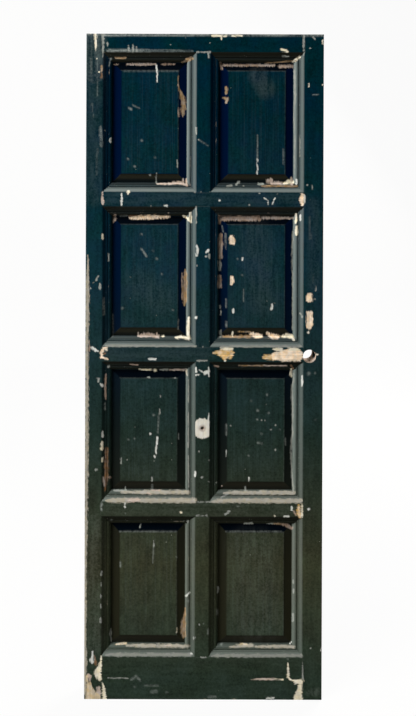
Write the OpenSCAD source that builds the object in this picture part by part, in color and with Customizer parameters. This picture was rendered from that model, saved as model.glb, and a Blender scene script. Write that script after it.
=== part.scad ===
// Eight-panel timber door leaf: two stiles, five rails, four muntins and eight raised panels.
// The moulding is worked on the members, and the rails are held by wedged through tenons.
// Millimetres, +Z up, face toward -Y, lock edge toward +X, origin at the middle of the bottom edge.

/* [Leaf] */
// width of the whole leaf
leaf_width = 725; // [625:5:925]
// height of the whole leaf
leaf_height = 2030; // [1900:10:2200]
// thickness of the stiles, rails and muntins
leaf_thickness = 40; // [40:1:48]

/* [Flat faces between the mouldings] */
// flat face of the hanging stile
hanging_face = 48.5; // [46:0.5:80]
// flat face of the lock stile
lock_face = 57.5; // [48:0.5:80]
// flat face of the top rail
top_rail_face = 53; // [48:1:80]
// flat face of each of the three rails between the panels
mid_rail_face = 41; // [38:1:60]
// flat face of the bottom rail
bottom_rail_face = 128; // [110:1:180]
// flat face of each muntin
muntin_face = 38; // [34:1:60]

/* [Moulding] */
// width of the moulding around each panel
moulding_width = 31; // [28:1:36]
// depth of the ogee that starts the moulding
ogee_depth = 6; // [4:0.5:6]

/* [Panels] */
// width of the sloping border of a panel, as far as its raised field
bevel_width = 25; // [18:1:35]
// height of the small step at the edge of the field
field_step = 1.5; // [1:0.5:3]
// thickness of the tongue that a panel carries into its groove
tongue_thickness = 8; // [6:0.5:8]
// depth of the groove for the panels
groove_depth = 12; // [10:1:14]

/* [Joinery] */
// thickness of the tenons
tenon_thickness = 12; // [10:1:14]
// length of a tenon wedge
wedge_length = 30; // [24:1:34]
// height of a tenon wedge at its outer end
wedge_height = 5; // [3:0.5:6]

/* [Lock and knob holes] */
// diameter of the round lock hole through the lock stile
lock_bore_diameter = 40; // [34:1:42]
// distance of the lock hole from the lock edge
lock_backset = 41; // [36:1:46]
// diameter of the latch hole in the lock edge
latch_bore_diameter = 23; // [18:1:24]
// diameter of the bolt hole of the centre knob
knob_bore_diameter = 9.5; // [6:0.5:12]

/* [Hinge seats] */
// height of a hinge seat
hinge_height = 100; // [80:5:120]
// width of a hinge seat, from the back face
hinge_width = 30; // [28:1:32]
// depth of a hinge seat
hinge_depth = 2.5; // [2:0.5:4]
// distance from the top edge to the middle of the top hinge
hinge_from_top = 200; // [180:10:260]
// distance from the bottom edge to the middle of the bottom hinge
hinge_from_bottom = 250; // [250:10:320]

/* [Hidden] */
$fn = 96;

paint = "#23363c";
panel_paint = "#1c2d31";
bare_wood = "#b48f63";

half_w = leaf_width / 2;
half_t = leaf_thickness / 2;
// the muntins stand midway between the shoulders, which are a little off the middle of the leaf
axis_x = (hanging_face - lock_face) / 2;
shoulder = (leaf_width - hanging_face - lock_face) / 2;
open_w = shoulder - muntin_face / 2;
open_h = (leaf_height - top_rail_face - 3 * mid_rail_face - bottom_rail_face) / 4;
column = (shoulder + muntin_face / 2) / 2;

// rows of panels are counted from 0 at the bottom to 3 at the top
function row_low(r) = bottom_rail_face + r * (open_h + mid_rail_face);
function row_high(r) = row_low(r) + open_h;
function row_middle(r) = row_low(r) + open_h / 2;

// moulding profile: an ogee, a flat with a sunk quirk, then a quarter round down to the groove
ovolo_r = 9.5;
quirk_outer = moulding_width - 15;
quirk_inner = moulding_width - 11.5;
quirk_depth = 2;
ogee_w = quirk_outer - 1;
ogee_steps = 8;
ovolo_steps = 6;
ogee = [for (i = [0 : ogee_steps])
    [ogee_w * i / ogee_steps, ogee_depth * (1 - cos(180 * i / ogee_steps)) / 2]];
ovolo = [for (i = [0 : ovolo_steps])
    [moulding_width - ovolo_r * (1 - sin(90 * i / ovolo_steps)),
    ogee_depth + ovolo_r * (1 - cos(90 * i / ovolo_steps))]];
void_profile = concat([[0, -1]], ogee, ovolo);

// panel profile: raised field, step, bevel, tongue
panel_play = 0.2;
tongue_reach = groove_depth - 2;
tongue_depth = (leaf_thickness - tongue_thickness) / 2 + panel_play;
bevel_rise = 4.2;
bevel_outer = moulding_width + 1;
field_edge = moulding_width + bevel_width;
panel_profile = [
    [field_edge, tongue_depth - bevel_rise - field_step],
    [field_edge, tongue_depth - bevel_rise],
    [bevel_outer, tongue_depth],
    [moulding_width - tongue_reach, tongue_depth]];

// joinery
overhang = moulding_width - groove_depth - 7;
haunch_length = 12;
haunch_height = 16;
stub_length = (mid_rail_face - 5) / 2;
bottom_margin = 18;
tenon_gap = 22;
twin_height = (bottom_rail_face + overhang - bottom_margin - tenon_gap) / 2;
top_tenon = [leaf_height - top_rail_face - overhang, leaf_height - haunch_height];
low_tenon = [bottom_margin, bottom_margin + twin_height];
high_tenon = [bottom_rail_face + overhang - twin_height, bottom_rail_face + overhang];
top_haunch = [leaf_height - haunch_height, leaf_height];
bottom_haunch = [0, bottom_rail_face];
function mid_tenon(r) = [row_high(r) - overhang, row_low(r + 1) + overhang];
through_tenons = [low_tenon, high_tenon, mid_tenon(0), mid_tenon(1), mid_tenon(2), top_tenon];

// holes
lock_x = half_w - lock_backset;
lock_z = row_high(1) + mid_rail_face / 2 - 4.5;
knob_z = row_middle(1) + 11;
screw_r = 1.6;
screw_length = 25;
screw_pitch_y = 14;
screw_pitch_z = hinge_height - 30;
hinge_middles = [hinge_from_bottom, lock_z + 200, leaf_height - hinge_from_top];

// closed outline, symmetrical both ways, of a profile counted in from the edge of a width
function outline(w, p) = let (a = w / 2, last = len(p) - 1) concat(
    [for (i = [0 : last]) [a - p[i][0], p[i][1] - half_t]],
    [for (i = [last : -1 : 0]) [a - p[i][0], half_t - p[i][1]]],
    [for (i = [0 : last]) [p[i][0] - a, half_t - p[i][1]]],
    [for (i = [last : -1 : 0]) [p[i][0] - a, p[i][1] - half_t]]);

// a profile run round a rectangle, with mitred corners
module mitred(w, h, p) {
    intersection() {
        linear_extrude(height = h + 2, center = true)
            polygon(outline(w, p));
        rotate([0, 90, 0])
            linear_extrude(height = w + 2, center = true)
                polygon(outline(h, p));
    }
}

// a rectangular slab seen from the face, inset by the same distance on its four sides
module slab(inset, y0, y1) {
    translate([inset - open_w / 2, y0, inset - open_h / 2])
        cube([open_w - 2 * inset, y1 - y0, open_h - 2 * inset]);
}

// everything that is cut from the members for one panel: moulding, quirks and groove
module opening() {
    mitred(open_w, open_h, void_profile);
    for (s = [0, 1])
        mirror([0, s, 0])
            difference() {
                slab(quirk_outer, 3 - half_t, ogee_depth + quirk_depth - half_t);
                slab(quirk_inner, 1 - half_t, leaf_thickness);
            }
    slab(moulding_width - groove_depth, -tongue_thickness / 2, tongue_thickness / 2);
}

module openings(rows, sides) {
    for (r = rows)
        for (s = sides)
            translate([axis_x + s * column, 0, row_middle(r)])
                opening();
}

// outline of a member in the plane of the leaf, raised to the leaf's thickness
module member(points) {
    rotate([90, 0, 0])
        linear_extrude(height = leaf_thickness, center = true)
            polygon(points);
}

// the moulded edge along one side of an opening, with its two mitres
m = moulding_width;
function run_up(x, r, s) = [[x, row_low(r)], [x + s * m, row_low(r) + m],
    [x + s * m, row_high(r) - m], [x, row_high(r)]];
function run_down(x, r, s) = [[x, row_high(r)], [x + s * m, row_high(r) - m],
    [x + s * m, row_low(r) + m], [x, row_low(r)]];
function run_right(x0, x1, z, s) = [[x0, z], [x0 + m, z + s * m], [x1 - m, z + s * m], [x1, z]];
function run_left(x0, x1, z, s) = [[x1, z], [x1 - m, z + s * m], [x0 + m, z + s * m], [x0, z]];
left_0 = axis_x - shoulder;
left_1 = axis_x - muntin_face / 2;
right_0 = axis_x + muntin_face / 2;
right_1 = axis_x + shoulder;
function runs_below(z) = concat(run_right(left_0, left_1, z, -1), run_right(right_0, right_1, z, -1));
function runs_above(z) = concat(run_left(right_0, right_1, z, 1), run_left(left_0, left_1, z, 1));
function shoulder_x(s) = axis_x + s * shoulder;
function stile_points(s) = concat(
    [[s * half_w, 0], [shoulder_x(s), 0]],
    [for (r = [0 : 3]) each run_up(shoulder_x(s), r, -s)],
    [[shoulder_x(s), leaf_height], [s * half_w, leaf_height]]);
function muntin_points(r) = concat(run_up(right_0, r, 1), run_down(left_1, r, -1));

// the tenon at one end of a rail, from inside the rail to its reach past the shoulder
module tenon(s, span, reach) {
    translate([axis_x, -tenon_thickness / 2, span[0]])
        mirror([s < 0 ? 1 : 0, 0, 0])
            translate([shoulder - overhang, 0, 0])
                cube([overhang + reach, tenon_thickness, span[1] - span[0]]);
}

function stile_face(s) = s < 0 ? hanging_face : lock_face;

module wedge(s, z, up) {
    rotate([90, 0, 0])
        linear_extrude(height = tenon_thickness, center = true)
            polygon([[s * half_w, z], [s * half_w, z + up * wedge_height],
                [s * (half_w - wedge_length), z]]);
}

module wedges(s) {
    for (span = through_tenons) {
        wedge(s, span[0], -1);
        wedge(s, span[1], 1);
    }
}

module mortises(s) {
    for (span = through_tenons)
        tenon(s, span, stile_face(s));
    tenon(s, top_haunch, haunch_length);
    tenon(s, bottom_haunch, haunch_length);
    wedges(s);
}

module lock_holes() {
    translate([lock_x, 0, lock_z])
        rotate([90, 0, 0])
            cylinder(h = leaf_thickness + 2, d = lock_bore_diameter, center = true);
    translate([lock_x, 0, lock_z])
        rotate([0, 90, 0])
            cylinder(h = lock_backset + 1, d = latch_bore_diameter);
}

module hinge_seats() {
    for (z = hinge_middles) {
        translate([-half_w - 1, half_t - hinge_width, z - hinge_height / 2])
            cube([hinge_depth + 1, hinge_width + 1, hinge_height]);
        for (y = [-1, 1])
            for (v = [-1, 1])
                translate([-half_w, half_t - hinge_width / 2 + y * screw_pitch_y / 2, z + v * screw_pitch_z / 2])
                    rotate([0, 90, 0])
                        cylinder(h = hinge_depth + screw_length, r = screw_r);
    }
}

module hanging_stile() {
    color(paint)
        difference() {
            member(stile_points(-1));
            openings([0, 1, 2, 3], [-1]);
            mortises(-1);
            hinge_seats();
        }
}

module lock_stile() {
    color(paint)
        difference() {
            member(stile_points(1));
            openings([0, 1, 2, 3], [1]);
            mortises(1);
            lock_holes();
        }
}

module top_rail() {
    color(paint)
        difference() {
            union() {
                member(concat(runs_below(row_high(3)), [[right_1, leaf_height], [left_0, leaf_height]]));
                for (s = [-1, 1]) {
                    tenon(s, top_tenon, stile_face(s));
                    tenon(s, top_haunch, haunch_length);
                }
            }
            openings([3], [-1, 1]);
            stub_tenon(3, 1);
        }
}

// a rail between two rows of panels; r is the row under it
module mid_rail(r) {
    difference() {
        union() {
            member(concat(runs_below(row_high(r)), runs_above(row_low(r + 1))));
            for (s = [-1, 1])
                tenon(s, mid_tenon(r), stile_face(s));
        }
        openings([r, r + 1], [-1, 1]);
        stub_tenon(r, 1);
        stub_tenon(r + 1, -1);
    }
}

module frieze_rail() {
    color(paint)
        mid_rail(2);
}

module lock_rail() {
    color(paint)
        difference() {
            mid_rail(1);
            lock_holes();
        }
}

module lower_rail() {
    color(paint)
        mid_rail(0);
}

module bottom_rail() {
    color(paint)
        difference() {
            union() {
                member(concat([[left_0, 0], [right_1, 0]], runs_above(row_low(0))));
                for (s = [-1, 1]) {
                    tenon(s, low_tenon, stile_face(s));
                    tenon(s, high_tenon, stile_face(s));
                    tenon(s, bottom_haunch, haunch_length);
                }
            }
            openings([0], [-1, 1]);
            stub_tenon(0, -1);
        }
}

// the short tenon at the upper (1) or lower (-1) end of the muntin in a row
module stub_tenon(r, end) {
    z = end > 0 ? row_high(r) - 1 : row_low(r) - stub_length;
    translate([left_1, -tenon_thickness / 2, z])
        cube([muntin_face, tenon_thickness, stub_length + 1]);
}

module muntin(r) {
    difference() {
        union() {
            member(muntin_points(r));
            stub_tenon(r, 1);
            stub_tenon(r, -1);
        }
        openings([r], [-1, 1]);
    }
}

module muntin_top() {
    color(paint)
        muntin(3);
}

module muntin_upper() {
    color(paint)
        muntin(2);
}

// this muntin carries the bolt hole of the centre knob
module muntin_lower() {
    color(paint)
        difference() {
            muntin(1);
            translate([axis_x, 0, knob_z])
                rotate([90, 0, 0])
                    cylinder(h = leaf_thickness + 2, d = knob_bore_diameter, center = true);
        }
}

module muntin_bottom() {
    color(paint)
        muntin(0);
}

module panel(s, r) {
    color(panel_paint)
        translate([axis_x + s * column, 0, row_middle(r)])
            mitred(open_w, open_h, panel_profile);
}

module panel_top_left() {
    panel(-1, 3);
}

module panel_top_right() {
    panel(1, 3);
}

module panel_upper_left() {
    panel(-1, 2);
}

module panel_upper_right() {
    panel(1, 2);
}

module panel_lower_left() {
    panel(-1, 1);
}

module panel_lower_right() {
    panel(1, 1);
}

module panel_bottom_left() {
    panel(-1, 0);
}

module panel_bottom_right() {
    panel(1, 0);
}

module tenon_wedges() {
    color(bare_wood)
        for (s = [-1, 1])
            wedges(s);
}

hanging_stile();
lock_stile();
top_rail();
frieze_rail();
lock_rail();
lower_rail();
bottom_rail();
muntin_top();
muntin_upper();
muntin_lower();
muntin_bottom();
panel_top_left();
panel_top_right();
panel_upper_left();
panel_upper_right();
panel_lower_left();
panel_lower_right();
panel_bottom_left();
panel_bottom_right();
tenon_wedges();
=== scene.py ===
"""Eight-panel door leaf in old dark enamel that peels from the pine.

Metres, +Z up, face toward -Y, lock edge toward +X, bottom edge on the floor.
"""

import math

import bmesh
import bpy
import numpy as np
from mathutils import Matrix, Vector


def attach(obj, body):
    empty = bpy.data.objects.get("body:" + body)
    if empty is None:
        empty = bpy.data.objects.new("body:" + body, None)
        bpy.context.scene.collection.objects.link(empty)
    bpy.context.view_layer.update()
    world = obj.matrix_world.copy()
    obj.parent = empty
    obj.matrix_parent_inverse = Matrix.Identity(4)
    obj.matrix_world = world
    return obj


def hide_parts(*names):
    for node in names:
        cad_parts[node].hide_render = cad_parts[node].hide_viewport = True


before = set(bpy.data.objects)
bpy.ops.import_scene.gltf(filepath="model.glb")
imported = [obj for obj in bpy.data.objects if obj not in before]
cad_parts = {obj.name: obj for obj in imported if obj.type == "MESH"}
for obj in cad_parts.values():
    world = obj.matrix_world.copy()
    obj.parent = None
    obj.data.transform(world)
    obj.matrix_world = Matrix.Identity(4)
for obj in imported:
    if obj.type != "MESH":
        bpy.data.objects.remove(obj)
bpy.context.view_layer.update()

# Sizes of the leaf, in millimetres

LEAF_W, LEAF_H, LEAF_T = 725, 2030, 40
COLUMNS = ((-314, -23.5), (14.5, 305))
ROWS = ((128, 559.5), (600.5, 1032), (1073, 1504.5), (1545.5, 1977))
MUNTIN_X = -4.5
LOCK_HOLE = (321.5, 1048, 20)
KNOB_HOLE = (MUNTIN_X, 827.25, 4.75)
KNOB_SEAT_R = 30.5
# the seat of the knob ends a little past the muntin's flat face
KNOB_SEAT_HALF = 21.5
# distances in from the flat face toward a panel
QUIRK = 17.8
FILLET = 20.5
SIGHT_LINE = 31
FIELD = 56
# how far the fields of the panels stand from the middle of the thickness
FIELD_Y = 9.5
# how far edges are rounded over by wear: around the leaf, around a field, and along a flat face
OUTER_ARRIS, FIELD_ARRIS, FLAT_ARRIS = 1.3, 0.6, 0.45
# how close, in millimetres, a point is to a plane that it lies on
TOUCH = 0.05
# the four sides of an opening
LEFT, RIGHT, BOTTOM, TOP = range(4)

UPRIGHTS = ("hanging_stile", "lock_stile", "muntin_top", "muntin_upper", "muntin_lower", "muntin_bottom")
RAILS = ("top_rail", "frieze_rail", "lock_rail", "lower_rail", "bottom_rail")
PANELS = tuple(f"panel_{row}_{side}"
               for row in ("top", "upper", "lower", "bottom") for side in ("left", "right"))

# The eye that took the photo, in metres and in pixels of the photo

EYE = Vector((-0.1645, -1.49, 1.57))
PHOTO_W, PHOTO_H = 416, 716
FOCUS = 481.9
PRINCIPAL = (150.8, 184.6)
LEAN = 0.0037
# the long side of the sensor, in millimetres
SENSOR = 36

# rows of the photo where the flat faces meet the mouldings: as the eye gives them, and as they are
ROWS_BY_EYE = (34.0, 51.4, 192.8, 206.3, 347.7, 361.1, 502.6, 516.0, 657.5, 699.4)
ROWS_SEEN = (34.0, 51.3, 193.9, 207.7, 348.2, 361.7, 500.5, 514.3, 657.4, 699.4)


def photo_point(co):
    """Where points of the leaf, in metres, fall in the photo, in its pixels."""
    depth = co[:, 1] - EYE.y
    across = (co[:, 0] - EYE.x) / depth * FOCUS
    up = (co[:, 2] - EYE.z) / depth * FOCUS
    px = PRINCIPAL[0] + across + LEAN * up
    py = PRINCIPAL[1] - up + LEAN * across
    return px, np.interp(py, ROWS_BY_EYE, ROWS_SEEN)


def colour(code):
    """Linear colour of an sRGB hex code."""
    parts = [int(code[i:i + 2], 16) / 255 for i in (1, 3, 5)]
    return tuple(p / 12.92 if p <= 0.04045 else ((p + 0.055) / 1.055) ** 2.4 for p in parts) + (1.0,)


# Where the paint has gone, and what shows there: primer and filler, then pine from fresh to weather-greyed

WHITE, CREAM, BONE = "#cccdc5", "#e4dac0", "#9d9788"
# STONE_AND_HIGHLIGHT is worn paint on the arrises and also a painted highlight, along the mouldings that
# face the light
GREY, STONE_AND_HIGHLIGHT, STRAW = "#8c8f88", "#7f8179", "#c4b396"
PEACH, GOLD, BLUSH = "#f6ddbe", "#dcb984", "#b8a799"
TAN, PINK, BROWN = "#9d8568", "#a08c7c", "#7a604a"
RUBBED_WOOD = "#958975"

# each mark is a tone and a chain of places across and down the photo with the half width there, in pixels
LOST_PAINT = [
    # hanging edge, worn to the wood from hip height down
    (BONE, (87.9, 256, 0.4), (87.7, 272, 1.2), (87.4, 300, 1.7), (87.1, 345, 1.5), (86.8, 400, 1.6),
     (86.5, 460, 1.7), (85.9, 520, 1.5), (85.2, 580, 1.3), (84.9, 640, 1.3), (85.0, 662, 1.7),
     (85.0, 684, 1.2), (84.6, 694, 1.0)),
    (PINK, (89.2, 342, 0.6), (89.3, 352, 0.8)),
    # hanging stile
    (CREAM, (95.5, 34, 1.4), (95.8, 46, 1.0), (95.6, 51, 0.4)),
    (GREY, (103, 34, 1.2), (103, 50, 1.0), (102.8, 57, 0.4)),
    (CREAM, (97, 58.5, 0.7)),
    (TAN, (101.5, 66, 1.0), (101.5, 71, 1.0)),
    (CREAM, (99, 72, 0.7)),
    (BROWN, (101.5, 74, 1.0), (101.5, 78, 0.9)),
    (WHITE, (110.3, 139, 1.0), (110.6, 142.5, 1.0)),
    (GREY, (104.9, 131.2, 0.8)),
    (BLUSH, (102.5, 193, 0.7), (102.4, 198, 1.0), (102.7, 204, 1.4), (103, 206.5, 0.6)),
    (CREAM, (102.6, 236, 1.0), (102.7, 239.5, 1.1)),
    (GREY, (98, 276.8, 0.8), (96.3, 281, 0.9)),
    (GREY, (93.3, 283.3, 1.1)),
    (GREY, (99.7, 284.5, 0.8), (100, 289, 1.2)),
    (GREY, (90.8, 289, 1.0)),
    (WHITE, (92.5, 348, 1.3), (95, 350, 1.4), (97.4, 351.5, 0.8)),
    (PEACH, (107, 347.6, 0.9), (103.5, 349, 1.4), (101.3, 353, 1.3), (102, 357.5, 1.4),
     (107.5, 359.8, 0.8)),
    (CREAM, (106, 350, 1.3)),
    (BROWN, (104.8, 354, 1.1)),
    (GREY, (108.6, 367, 1.3)),
    (GREY, (97, 378.5, 0.9), (99, 379, 1.1), (98.2, 382, 0.9)),
    (WHITE, (101.2, 384.5, 1.2), (103, 386, 1.2)),
    (PINK, (105.7, 375, 0.8), (105.3, 387, 1.0), (105.4, 399, 0.7)),
    (WHITE, (102.6, 431, 0.8), (102.6, 436, 0.9)),
    (CREAM, (102.3, 441, 1.0), (101.6, 448.5, 1.1)),
    (BROWN, (106.4, 447, 1.3), (106.5, 460, 1.9), (106.3, 476, 1.9), (105, 484, 1.4), (104.5, 488.5, 0.7)),
    (BLUSH, (103.5, 476, 1.0), (104.4, 484, 1.1)),
    (CREAM, (102.4, 456.5, 0.8), (102.4, 460, 0.8)),
    (GREY, (96.2, 468.2, 1.2)),
    (BLUSH, (109.9, 475.7, 1.0)),
    (GREY, (101.4, 570.5, 0.8), (101.4, 574, 0.9)),
    (GREY, (101.1, 581.5, 0.6), (101.1, 584.5, 0.6)),
    (GREY, (100.7, 594, 0.6), (100.7, 597.3, 0.6)),
    (GREY, (100.7, 604, 0.6), (100.7, 607, 0.6)),
    (GREY, (100.7, 617.5, 0.8), (100.7, 621.8, 0.9)),
    (GREY, (110.9, 628, 0.5), (110.4, 634, 0.9), (111.2, 641, 0.5)),
    (WHITE, (92.4, 651, 0.5), (92.3, 656, 0.9), (91.5, 660, 1.9), (92.2, 663, 0.9)),
    (GREY, (95, 659, 1.0), (95.5, 661.5, 0.6)),
    (BROWN, (94.2, 655, 0.5), (95.4, 660, 1.0), (95.8, 665, 1.0)),
    (CREAM, (101.2, 656, 0.5), (100.8, 662, 0.9), (98.8, 668, 2.4), (97.4, 672.5, 3.1),
     (99, 677, 2.5), (100, 680, 1.2)),
    (STRAW, (86.6, 676, 1.0), (87.4, 682, 1.3)),
    (BLUSH, (87.8, 674.5, 1.2), (90, 676.5, 1.4), (89.6, 680, 1.3)),
    (STRAW, (88.6, 684, 2.3), (89.8, 690, 3.6), (91, 696, 5.5), (90.5, 700, 5.5)),
    (BLUSH, (98.4, 688, 1.6), (98.2, 693, 2.8)),
    (STRAW, (97.6, 694, 3.0), (96.6, 700, 4.4)),
    (CREAM, (102.6, 683, 0.6), (103.8, 689, 1.4), (104.3, 695, 1.8), (104.2, 699.5, 2.3)),
    # top rail
    (GREY, (128.5, 45.5, 0.4), (128.5, 51, 0.9)),
    (GREY, (133, 44.5, 0.5), (133, 51, 1.1)),
    (GREY, (136.5, 46.5, 0.4), (136.6, 51, 0.9)),
    (GREY, (185.5, 38, 0.6)),
    (GREY, (170.5, 45, 0.6)),
    (GREY, (210, 43, 0.6)),
    (GREY, (107.5, 42, 0.6), (107.5, 46, 0.6)),
    (CREAM, (212, 35.5, 0.9), (226, 35.8, 0.9)),
    (CREAM, (221.5, 36, 0.6), (221.5, 40, 0.5)),
    (CREAM, (232, 35.6, 0.8), (242, 35.6, 0.8)),
    (CREAM, (281.5, 49.5, 1.2), (287, 51, 1.3)),
    (GREY, (197, 52, 0.6), (210, 52, 0.7)),
    (GREY, (208.5, 52, 0.9), (208.7, 57.5, 0.7)),
    (GREY, (303.8, 35, 1.0), (303.4, 45, 0.9), (304, 55, 0.6)),
    # top row, left
    (TAN, (115.5, 57.8, 0.8), (125.5, 57.8, 0.9)),
    (PINK, (113.5, 64.3, 0.7), (118, 64.3, 0.8)),
    (BLUSH, (127, 64.2, 0.8), (140, 64.3, 1.2), (155, 64.2, 0.9)),
    (PINK, (162, 64.3, 0.9), (175, 64.2, 0.7)),
    (TAN, (182, 62.3, 0.8), (187, 60, 1.6), (191, 58.5, 1.8)),
    (WHITE, (156.5, 65.5, 0.7), (156.8, 71, 0.8), (157, 82, 0.4)),
    (TAN, (178.2, 76, 0.5), (178.5, 88, 0.7), (182, 96, 2.0), (183.6, 104, 2.6), (183, 112, 1.9),
     (183, 117, 0.9)),
    (PINK, (178.6, 108, 0.6), (178.5, 117, 0.8)),
    (GREY, (149.7, 175.7, 1.0)),
    (GREY, (177.2, 161, 0.5), (177.2, 168.3, 0.6)),
    (GREY, (156.3, 174, 0.5), (156.3, 184, 0.7)),
    (BLUSH, (157, 184.9, 0.8), (170, 184.8, 1.1), (178, 183.5, 1.7), (182, 184.8, 1.3), (187, 186.2, 1.0)),
    (BLUSH, (182.8, 179.5, 0.7), (183.2, 184, 0.9)),
    (BLUSH, (186, 180, 0.6), (186.4, 186, 0.9)),
    (GREY, (196.1, 128.3, 0.8), (196.3, 135, 0.6)),
    (GREY, (198.6, 140.3, 0.7)),
    # top row, right
    (PINK, (220.5, 63.5, 1.4), (221.5, 69, 1.1)),
    (PINK, (222, 65.2, 1.1), (258, 65.2, 1.2)),
    (BLUSH, (259, 65.2, 1.2), (274, 65.2, 1.2)),
    (PINK, (280, 66, 1.7), (292, 66.5, 1.5)),
    (TAN, (265, 63.2, 0.5), (282, 62, 0.6), (296, 60.6, 0.7)),
    (CREAM, (293, 61.5, 1.1), (299.5, 57.5, 1.3)),
    (GREY, (282, 56.2, 0.6), (288.5, 56.2, 0.6)),
    (TAN, (226.2, 88.5, 1.5), (226.4, 93, 1.4)),
    (TAN, (223, 98, 1.0), (227, 99.5, 1.9), (226, 102.8, 1.1)),
    (WHITE, (257.3, 160, 0.6), (257.3, 175, 0.6)),
    (STONE_AND_HIGHLIGHT, (294.3, 70, 0.8), (295.2, 95, 1.1), (293.8, 112, 0.4), (294.8, 145, 0.6), (294.2, 175, 0.4)),
    (STONE_AND_HIGHLIGHT, (299.8, 136, 0.5), (299.8, 157, 0.5)),
    (BLUSH, (267.5, 182, 1.6), (271, 181.5, 2.3), (272, 184.5, 1.7)),
    (BLUSH, (274, 184.3, 1.5), (280, 184, 1.9)),
    (CREAM, (284, 184.6, 1.2), (289, 182.5, 2.1), (292, 183.5, 2.0)),
    (BLUSH, (291, 179, 1.2), (292, 186, 1.6)),
    (WHITE, (296.5, 180.5, 0.7), (296.5, 185, 0.8)),
    (GREY, (258.5, 185, 1.1), (262.5, 185, 1.2)),
    (GREY, (236.2, 185.4, 1.1), (238.8, 183.2, 1.2)),
    (GREY, (243.5, 187, 0.7)),
    (GREY, (227.5, 187.4, 1.1), (231.4, 186.6, 1.0)),
    (TAN, (262, 187.2, 0.9), (297, 187.2, 1.1)),
    # frieze rail
    (CREAM, (128.1, 193, 1.4), (128, 195, 0.8)),
    (WHITE, (121.5, 194.5, 0.5), (121.6, 199.8, 1.1), (121.5, 207, 0.5)),
    (WHITE, (164.6, 207.1, 1.0), (167, 207.1, 1.0)),
    (GREY, (150.9, 207.5, 0.6)),
    (GREY, (194.8, 193, 1.0)),
    (GREY, (201, 193, 0.7)),
    (WHITE, (219.5, 201.7, 1.1)),
    (GREY, (249.3, 206.2, 0.8)),
    (GREY, (259.5, 194.5, 0.7)),
    (WHITE, (264, 199, 0.4), (268, 202, 0.5), (268.2, 206.5, 0.6)),
    (WHITE, (275, 199, 0.6), (272.3, 205.5, 0.7)),
    (GREY, (277.5, 195, 0.6)),
    (PEACH, (302, 195.5, 1.5), (301.8, 200.5, 2.2), (302.3, 206, 1.3)),
    (WHITE, (304.6, 197, 0.7), (304.8, 204, 0.6)),
    # upper row, left
    (PEACH, (129.5, 219, 1.1), (137, 218.8, 1.9), (150, 218.6, 1.9), (162, 218.2, 1.6), (169, 218, 1.2)),
    (BROWN, (130, 217.3, 0.6), (137, 216.9, 0.5)),
    (PINK, (114.8, 217, 1.3), (114.2, 220.5, 1.5), (113.6, 223.3, 0.8)),
    (CREAM, (183, 217.2, 0.9), (188, 219.6, 1.2), (190.8, 223.5, 0.9)),
    (CREAM, (190.2, 214, 0.9), (190.8, 219, 1.2), (191, 223.5, 0.8)),
    (GREY, (196.2, 208, 0.7), (196.2, 224, 0.5)),
    (GREY, (108.6, 254.5, 0.5), (108.6, 262, 0.5)),
    (WHITE, (196.9, 246.5, 0.8), (197.6, 250, 1.1), (196.8, 256.8, 1.0)),
    (GREY, (197, 266.7, 0.8)),
    (WHITE, (206.2, 253.2, 1.1), (208.4, 251.4, 1.2)),
    (WHITE, (206.3, 257.6, 0.9)),
    (GREY, (209.3, 255.5, 0.9), (209.6, 259, 1.0)),
    (TAN, (185.2, 270.5, 0.6), (185.4, 275, 1.7), (184.6, 290, 2.3), (184.9, 301, 2.2), (184.2, 306, 0.9)),
    (PINK, (182.3, 274, 0.5), (182, 300, 0.6)),
    (GREY, (178.3, 320, 0.4), (178.3, 330, 0.4)),
    (CREAM, (189, 318.5, 1.0), (188.3, 324, 1.3), (188, 334, 1.2), (189, 339.5, 1.2)),
    (WHITE, (196, 318.2, 1.2)),
    (BLUSH, (138, 336.7, 1.0), (143, 335.9, 1.7), (150, 335.8, 2.1), (158, 336.8, 1.5)),
    (BLUSH, (138.3, 333.5, 0.5), (138.3, 336, 0.8)),
    (BLUSH, (143.5, 332.7, 0.5), (143.5, 336, 0.9)),
    (BLUSH, (157, 333.5, 0.5), (157, 336, 0.8)),
    (CREAM, (163, 336.5, 1.3)),
    (CREAM, (176, 338.2, 1.1), (181, 337.6, 1.8), (189.5, 339, 1.2)),
    (STONE_AND_HIGHLIGHT, (106, 346.4, 0.9), (113, 346.2, 1.2), (128, 346.2, 1.3), (150, 346.3, 0.9), (196, 346.6, 0.9)),
    # upper row, right
    (PINK, (219.5, 218.8, 1.6), (219.8, 224.5, 1.4)),
    (PINK, (222, 219.7, 2.1), (245, 219.9, 2.3), (259, 219.7, 2.1)),
    (BLUSH, (263, 219.2, 1.3), (278, 219.2, 1.3), (292.5, 219.4, 0.9)),
    (PINK, (220.6, 236, 1.6), (220.6, 247, 2.3), (220.5, 258.5, 1.8)),
    (GREY, (219.8, 263, 1.3), (219.8, 270.5, 1.3)),
    (PINK, (219.7, 277, 1.5), (219.7, 287.5, 1.7)),
    (PEACH, (231.6, 239.6, 2.7), (232.3, 242.8, 3.0)),
    (PEACH, (231.9, 278, 1.5), (232, 281.3, 2.0), (231.6, 284.6, 1.2)),
    (WHITE, (242.5, 258.8, 0.8), (242.5, 261, 0.8)),
    (CREAM, (296, 215.5, 1.1), (296.2, 221, 1.2), (295.3, 224.5, 0.9)),
    (CREAM, (296.8, 227.5, 1.0), (296.5, 232.5, 1.5), (296.6, 236, 1.0)),
    (WHITE, (300.3, 216.5, 0.8), (300.4, 221.5, 0.8)),
    (STONE_AND_HIGHLIGHT, (292.6, 233, 0.7), (292.3, 245, 0.9), (292, 256, 0.6), (292.6, 290, 0.6), (292.4, 330, 0.5)),
    (GREY, (220.3, 306.5, 0.7), (220.3, 309, 0.7)),
    (GREY, (220.6, 312, 0.7), (220.6, 315.5, 0.7)),
    (WHITE, (233.2, 310, 0.9), (233.2, 313.5, 0.8)),
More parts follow.
